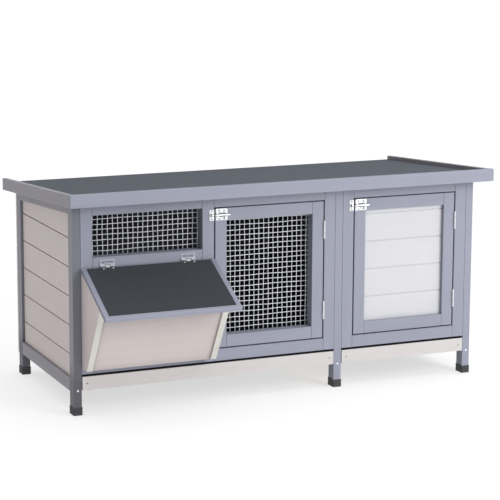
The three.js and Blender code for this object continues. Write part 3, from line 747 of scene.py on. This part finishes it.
def screws(name, body, spots, material="zinc", **look):
    """One piece with a screw head at each (place, normal)."""
    bm = bmesh.new()
    for at, normal in spots:
        add_screw(bm, at, normal, **look)
    shape_from(name, bm, [material, "recess"], body)


def tray_screws():
    """A painted screw at each end of each tray's front, but for the dark one at the far left."""
    for tray in ("left_tray", "right_tray"):
        lo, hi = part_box(tray + "_front")
        for x, end in ((lo.x + 0.012, "_screw_left"), (hi.x - 0.012, "_screw_right")):
            name = tray + end
            spots = [((x, lo.y - PROUD_OF_FACE, (lo.z + hi.z) / 2), FRONT)]
            if name == "left_tray_screw_left":
                screws(name, tray, spots, "recess", radius=0.0017, proud=0.0004)
            else:
                screws(name, tray, spots, "cream_tray", radius=0.0024)


def post_screw_caps():
    """A plated cap low on each front post."""
    for column in ("left", "centre", "right"):
        lo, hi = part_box("front_" + column + "_post")
        x = (lo.x + hi.x) / 2
        spots = [((x, lo.y - PROUD_OF_FACE, 0.060), FRONT)]
        screws("front_" + column + "_post_screw_cap", "hutch", spots, radius=0.0026, cut=0.0)


def fascia_nails():
    """Filled nail heads where the fascia meets the roof's side rails."""
    lo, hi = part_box("roof_fascia")
    middle = (lo.z + hi.z) / 2
    spots = []
    for x in (lo.x + 0.011, lo.x + 0.019, hi.x - 0.011, hi.x - 0.019):
        for z in (middle - 0.006, middle + 0.006):
            spots.append(((x, lo.y - PROUD_OF_FACE, z), FRONT))
    screws("fascia_nails", "hutch", spots, "gray_edge", radius=0.0015, proud=0.0003, cut=0.0)


def lid_screws():
    """Screws through the felt into the hopper lid's hinge leaves."""
    axis = joint_axis("feeder_lid_hinge")
    normal, down = lid_directions()
    top = max((v.co - axis).dot(normal) for v in frame["nodes"]["lid_felt"].data.vertices)
    spots = []
    for side in ("left", "right"):
        lo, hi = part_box("lid_hinge_" + side + "_moving_leaf")
        for x in (lo.x + 0.006, hi.x - 0.006):
            start = Vector((x, axis.y, axis.z))
            spots.append((start + down * 0.0085 + normal * (top + PROUD_OF_FACE), normal))
    screws("lid_screws", "feeder_lid", spots, radius=0.0026, proud=0.0012)


# ---------------------------------------------------------------- latches
def arch_outline(base_y, centre_y, centre_z, inner, thick, foot):
    """Section of a bent strap over a round bolt, as Y and Z: a foot, an arch and a foot."""
    outer = inner + thick
    points = [(base_y - thick, centre_z - outer - foot), (base_y - thick, centre_z - outer)]
    points += arc((centre_y, centre_z), outer, 270, 90, 12)
    points += [(base_y - thick, centre_z + outer), (base_y - thick, centre_z + outer + foot)]
    points += [(base_y, centre_z + outer + foot), (base_y, centre_z + inner)]
    points += arc((centre_y, centre_z), inner, 90, 270, 12)
    points += [(base_y, centre_z - inner), (base_y, centre_z - outer - foot)]
    return points


def add_layers(bm, layers, radius=0.0020, capped=None):
    """Rounded rectangles in X and Z, one for each (limits, growth, y), joined in order.

    They close into a ring around a hole, unless capped gives the material of the last one's face.
    """
    loops = []
    for (x0, x1, z0, z1), grow, y in layers:
        points = rounded(x0 - grow, x1 + grow, z0 - grow, z1 + grow, radius)
        loops.append([bm.verts.new((x, y, z)) for x, z in points])
    pairs = list(zip(loops, loops[1:]))
    if capped is None:
        pairs.append((loops[-1], loops[0]))
    else:
        bm.faces.new(loops[0])
        bm.faces.new(loops[-1]).material_index = capped
    for near, far in pairs:
        for i in range(len(near)):
            j = (i + 1) % len(near)
            bm.faces.new((near[i], near[j], far[j], far[i]))


def latch_plate(name, body, arches, slot_xs, screw_xs):
    """A pressed plate with rounded corners, arched straps, a slot behind the bolt and screws."""
    lo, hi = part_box(name)
    centre_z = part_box(name.split("_latch_")[0] + "_bolt_rod")[1].z - BOLT_R
    centre_y = hi.y - BOLT_BEFORE_PLATE
    face_y = hi.y - SHEET_T
    bm = bmesh.new()
    plate = (lo.x, hi.x, lo.z, hi.z)
    hole = (lo.x + slot_xs[0], lo.x + slot_xs[1], centre_z - 0.0048, centre_z + 0.0048)
    soft = 0.00025
    add_layers(bm, [
        (plate, 0.0, hi.y), (plate, 0.0, face_y + soft), (plate, -soft, face_y),
        (hole, soft, face_y), (hole, 0.0, face_y + soft), (hole, 0.0, hi.y),
    ])
    outline = arch_outline(face_y, centre_y, centre_z, 0.0028, 0.0009, 0.0040)
    for x0, x1 in arches:
        add_board(bm, outline, "X", lo.x + x0, lo.x + x1, 0, 0.0, 0.0002)
    shape_from(name + "_pressed", bm, ["zinc"], body, [name])
    spots = []
    for x in screw_xs:
        for z in (centre_z - 0.0098, centre_z + 0.0098):
            spots.append(((lo.x + x, face_y - PROUD_OF_FACE, z), FRONT))
    screws(name + "_screws", body, spots, radius=0.0024, proud=0.0008, cut=0.32)


def bolt(door):
    """A round bolt with a bevelled tip and a knob that points forwards and down."""
    lo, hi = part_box(door + "_bolt_rod")
    plate_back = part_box(door + "_latch_plate")[1].y
    start = Vector((lo.x, plate_back - BOLT_BEFORE_PLATE, hi.z - BOLT_R))
    length = hi.x - lo.x
    bevel = 0.0012
    bm = bmesh.new()
    ends = [(0.0, 0.0014), (bevel, BOLT_R), (length - bevel * 0.6, BOLT_R), (length, 0.0018)]
    add_turned(bm, start, (1, 0, 0), ends)
    knob = [(0.0010, 0.0015), (0.0075, 0.0015), (0.0086, 0.0020), (0.0122, 0.0020), (0.0130, 0.0012)]
    add_turned(bm, start + Vector((0.0218, 0, 0)), (0, -1, -1), knob, 16)
    shape_from(door + "_bolt_turned", bm, ["zinc"], door + "_bolt", [door + "_bolt_rod"])


def latches():
    """On each door a plate with two straps and its bolt, and on the frame a keeper with one strap."""
    for door in ("middle_door", "right_door"):
        straps = ((0.0008, 0.0058), (0.0242, 0.0292))
        latch_plate(door + "_latch_plate", door, straps, (0.0065, 0.0235), (0.0085, 0.0215))
        latch_plate(door + "_latch_keeper", "hutch", ((0.0040, 0.0080),), (0.0025, 0.0095), (0.0060,))
        bolt(door)


# ---------------------------------------------------------------- hinges
def knuckle_stretches(start, end, kind):
    """The outer two thirds of a hinge's barrel belong to the fixed leaf, the middle to the moving one."""
    each = (end - start - 2 * HINGE_SPLIT) / 3
    if kind == "fixed":
        return [(start, start + each), (end - each, end)]
    return [(start + each + HINGE_SPLIT, end - each - HINGE_SPLIT)]


def add_barrel(bm, axis, direction, stretches, pin):
    """Knuckles with bevelled ends, and the pin's round rod and heads where pin is a stretch."""
    bevel = 0.0003
    for start, end in stretches:
        length = end - start
        profile = [
            (0.0, KNUCKLE_R - bevel), (bevel, KNUCKLE_R),
            (length - bevel, KNUCKLE_R), (length, KNUCKLE_R - bevel),
        ]
        add_turned(bm, axis + direction * start, direction, profile, 24)
    if pin:
        length = pin[1] - pin[0]
        head = 0.0007
        profile = [
            (0.0, PIN_R * 0.6), (head * 0.4, PIN_R * 1.3), (head, PIN_R * 1.3), (head, PIN_R),
            (length - head, PIN_R), (length - head, PIN_R * 1.3),
            (length - head * 0.4, PIN_R * 1.3), (length, PIN_R * 0.6),
        ]
        add_turned(bm, axis + direction * pin[0], direction, profile, 16)


def door_leaf(name, body, joint, kind):
    """A leaf in the gap beside a door, with its knuckles before the door's face."""
    lo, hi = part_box(name)
    axis = joint_axis(joint)
    side = 1 if kind == "fixed" else -1
    near = axis.x + side * 0.0004
    plate_x = sorted((near, near + side * 0.0008))
    plate_y0 = axis.y + KNUCKLE_R + 0.0008
    stretches = knuckle_stretches(lo.z, hi.z, kind)
    bm = bmesh.new()
    pin = (lo.z, hi.z) if kind == "fixed" else None
    add_barrel(bm, Vector((axis.x, axis.y, 0)), Vector((0, 0, 1)), stretches, pin)
    add_board(bm, rounded(plate_y0, hi.y, lo.z, hi.z, 0.0020), "X", *plate_x, 0, 0.0, 0.00015)
    for start, end in stretches:
        add_board(bm, rectangle(*plate_x, axis.y, plate_y0 + 0.0004), "Z", start, end, 0, 0.0, 0.00015)
    shape_from(name + "_rolled", bm, ["zinc"], body, [name])
    y = (plate_y0 + hi.y) / 2
    spots = [((near, y, z), (-side, 0, 0)) for z in (lo.z + 0.008, (lo.z + hi.z) / 2, hi.z - 0.008)]
    screws(name + "_screws", body, spots, radius=0.0024, proud=0.0003, cut=0.25)


def lid_fixed_leaf(side):
    """The leaf on the rail above the hopper's lid."""
    name = "lid_hinge_" + side + "_fixed_leaf"
    lo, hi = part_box(name)
    axis = joint_axis("feeder_lid_hinge")
    face_y = hi.y - SHEET_T
    plate = (lo.x, hi.x, axis.z + 0.0030, axis.z + 0.0145)
    soft, rim = 0.0002, 0.0016
    bm = bmesh.new()
    stretches = knuckle_stretches(lo.x, hi.x, "fixed")
    add_barrel(bm, Vector((0, axis.y, axis.z)), Vector((1, 0, 0)), stretches, (lo.x, hi.x))
    add_layers(bm, [
        (plate, 0.0, hi.y), (plate, 0.0, face_y + soft), (plate, -soft, face_y),
        (plate, -rim, face_y), (plate, -rim - soft, face_y + soft),
    ], capped=1)
    for start, end in stretches:
        outline = rectangle(face_y, hi.y, axis.z, plate[2] + 0.0005)
        add_board(bm, outline, "X", start, end, 0, 0.0, 0.00015)
    shape_from(name + "_rolled", bm, ["knuckle", "leaf"], "hutch", [name])
    spots = []
    for x in (lo.x + 0.009, hi.x - 0.009):
        spots.append(((x, face_y + soft - PROUD_OF_FACE, axis.z + 0.0090), FRONT))
    screws(name + "_screws", "hutch", spots, "leaf", radius=0.0022, proud=0.0005)


def lid_moving_leaf(side):
    """The leaf in the lid under its felt, as long as the one above."""
    lo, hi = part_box("lid_hinge_" + side + "_fixed_leaf")
    name = "lid_hinge_" + side + "_moving_leaf"
    axis = joint_axis("feeder_lid_hinge")
    normal, down = lid_directions()
    bm = bmesh.new()
    middle = knuckle_stretches(lo.x, hi.x, "moving")
    add_barrel(bm, Vector((0, axis.y, axis.z)), Vector((1, 0, 0)), middle, None)

    def section(points):
        places = [axis + down * a + normal * b for a, b in points]
        return [(place.y, place.z) for place in places]

    plate = section([(0.0034, -0.0033), (0.0158, -0.0033), (0.0158, -0.0022), (0.0034, -0.0022)])
    add_board(bm, plate, "X", lo.x, hi.x, 0, 0.0, 0.00015)
    tab = section([(0.0038, -0.0033), (0.0038, -0.0022), (0.0012, -0.0007), (0.0002, -0.0016)])
    for start, end in middle:
        add_board(bm, tab, "X", start, end, 0, 0.0, 0.0001)
    shape_from(name + "_rolled", bm, ["knuckle"], "feeder_lid", [name])


def hinges():
    """Two on each door and two on the hopper's lid, each with two leaves."""
    for door in ("middle_door", "right_door"):
        for level in ("upper", "lower"):
            start = door + "_hinge_" + level
            door_leaf(start + "_fixed_leaf", "hutch", door + "_hinge", "fixed")
            door_leaf(start + "_moving_leaf", door, door + "_hinge", "moving")
    for side in ("left", "right"):
        lid_fixed_leaf(side)
        lid_moving_leaf(side)


# ---------------------------------------------------------------- build
def finish_nodes():
    """The CAD nodes that stay, each with its own finish, and the foot caps, which are rebuilt."""
    for name in frame["nodes"]:
        if name.endswith("_foot_cap"):
            foot_cap(name)
        elif name.endswith("_left_post"):
            dress(name, "left_post", "left_post_edge")
        elif name.endswith("_post"):
            dress(name, "grayZ", "gray_edge")
        elif name.endswith(("_bottom_rail", "_top_rail")):
            dress(name, "side_gray", "side_gray_edge")
        elif name.startswith("roof_rail"):
            dress(name, "roof_side", "roof_side_edge")
        elif name.endswith("_tray_front"):
            dress(name, "cream_tray", "cream_tray_edge")
        elif name.endswith("_tray_pan"):
            dress(name, "tray", None, 0.0006)
        elif name.startswith("feeder_side"):
            dress(name, "hopper_side", "cream_edge")
    dress("back_wall", "back", None, 0.0005)
    # the divider and the roof's deck are dark all over: painted shade
    dress("divider_wall", "insideZ", None, 0.0005)
    dress("centre_tray_runner", "plainY", None)
    dress("roof_deck", "insideX", None)
    dress("roof_felt", "felt", None, 0.0004)
    dress("roof_fascia", "grayX", "gray_edge")
    dress("feeder_front", "hopper_front", "cream_edge")
    dress("lid_board", "grayX", "gray_edge")
    dress("lid_felt", "felt", None, 0.0003)
    dress("right_door_planks", "whiteX", None, 0.0004)


front_frames()
door_boards("middle_door_frame", "middle_door", False, (0.21, 0.47, 0.63, 0.89))
door_boards("right_door_frame", "right_door", True, (0.29, 0.51, 0.67, 0.93))
for mesh_node, mesh_body, phase in (
    ("window_mesh", "hutch", (0.35, 0.40)),
    ("middle_door_mesh", "middle_door", (0.30, 0.45)),
):
    welded_wire(mesh_node, mesh_body, phase)
    staples(mesh_node, mesh_body)
siding("left_wall_siding", -1)
siding("right_wall_siding", 1)
latches()
hinges()
tray_screws()
post_screw_caps()
fascia_nails()
lid_screws()
finish_nodes()


# ---------------------------------------------------------------- studio
def studio_floor():
    """A wide, pale floor that glows a little."""
    floor_mesh = bpy.data.meshes.new("studio_floor")
    reach = FLOOR_REACH
    corners = [(-reach, -reach, 0), (reach, -reach, 0), (reach, reach, 0), (-reach, reach, 0)]
    floor_mesh.from_pydata(corners, [], [(0, 1, 2, 3)])
    floor = bpy.data.objects.new("studio_floor", floor_mesh)
    bpy.context.scene.collection.objects.link(floor)
    material, tree, bsdf = new_material("studio_floor")
    place = node(tree, "ShaderNodeTexCoord").outputs["Object"]
    speckle = mix_colour(tree, noise(tree, place, 0.8), *FLOOR_TONES)
    plug(tree, bsdf.inputs["Base Color"], speckle)
    bsdf.inputs["Roughness"].default_value = 0.8
    bsdf.inputs["Emission Color"].default_value = (1.0, 1.0, 1.0, 1.0)
    away = node(tree, "ShaderNodeVectorMath", {0: place}, operation="LENGTH").outputs["Value"]
    plug(tree, bsdf.inputs["Emission Strength"], span(tree, away, 1.0, 6.0, FLOOR_GLOW, FLOOR_GLOW_FAR))
    floor_mesh.materials.append(material)


def studio_sky():
    """Soft light from all around, brighter from the right and from above."""
    world = bpy.data.worlds.new("studio")
    bpy.context.scene.world = world
    world.use_nodes = True
    tree = world.node_tree
    way = node(tree, "ShaderNodeSeparateXYZ", {0: node(tree, "ShaderNodeTexCoord").outputs["Generated"]})
    low = span(tree, way.outputs["X"], -0.6, 0.3, SKY_LEFT, SKY_RIGHT)
    high = span(tree, way.outputs["Z"], 0.3, 0.9, 0.0, SKY_TOP - SKY_RIGHT)
    strength = math_node(tree, "ADD", low, high)
    plug(tree, tree.nodes["Background"].inputs["Color"], (1.0, 1.0, 1.0, 1.0))
    plug(tree, tree.nodes["Background"].inputs["Strength"], strength)


def lamp(name, at, target, size, power, colour):
    """A square area light that faces its target."""
    data = bpy.data.lights.new(name, "AREA")
    data.shape = "SQUARE"
    data.size = size
    data.energy = power
    data.color = colour
    made = bpy.data.objects.new(name, data)
    bpy.context.scene.collection.objects.link(made)
    made.location = at
    made.rotation_mode = "QUATERNION"
    made.rotation_quaternion = (Vector(target) - Vector(at)).to_track_quat("-Z", "Y")


def camera():
    """The view of the front and the left side. Yaw, pitch and roll are in degrees."""
    data = bpy.data.cameras.new("camera")
    data.sensor_width = 36.0
    data.lens = CAMERA_LENS
    data.shift_y = CAMERA_SHIFT_Y
    data.clip_start, data.clip_end = 0.1, 90.0
    made = bpy.data.objects.new("camera", data)
    bpy.context.scene.collection.objects.link(made)
    yaw, pitch, roll = (math.radians(v) for v in (CAMERA_YAW, CAMERA_PITCH, CAMERA_ROLL))
    ahead = Vector((math.sin(yaw) * math.cos(pitch), math.cos(yaw) * math.cos(pitch), -math.sin(pitch)))
    level = Vector((math.cos(yaw), -math.sin(yaw), 0.0))
    upright = level.cross(ahead)
    right = math.cos(roll) * level + math.sin(roll) * upright
    up = -math.sin(roll) * level + math.cos(roll) * upright
    made.matrix_world = Matrix.Translation(CAMERA_AT) @ Matrix((right, up, -ahead)).transposed().to_4x4()
    bpy.context.scene.camera = made


studio_floor()
studio_sky()
lamp("key", KEY_AT, (0, 0, 0.25), KEY_SIZE, KEY_POWER, (1.0, 0.99, 0.98))
camera()
bpy.context.scene.view_settings.view_transform = "Standard"
bpy.context.scene.view_settings.look = "None"
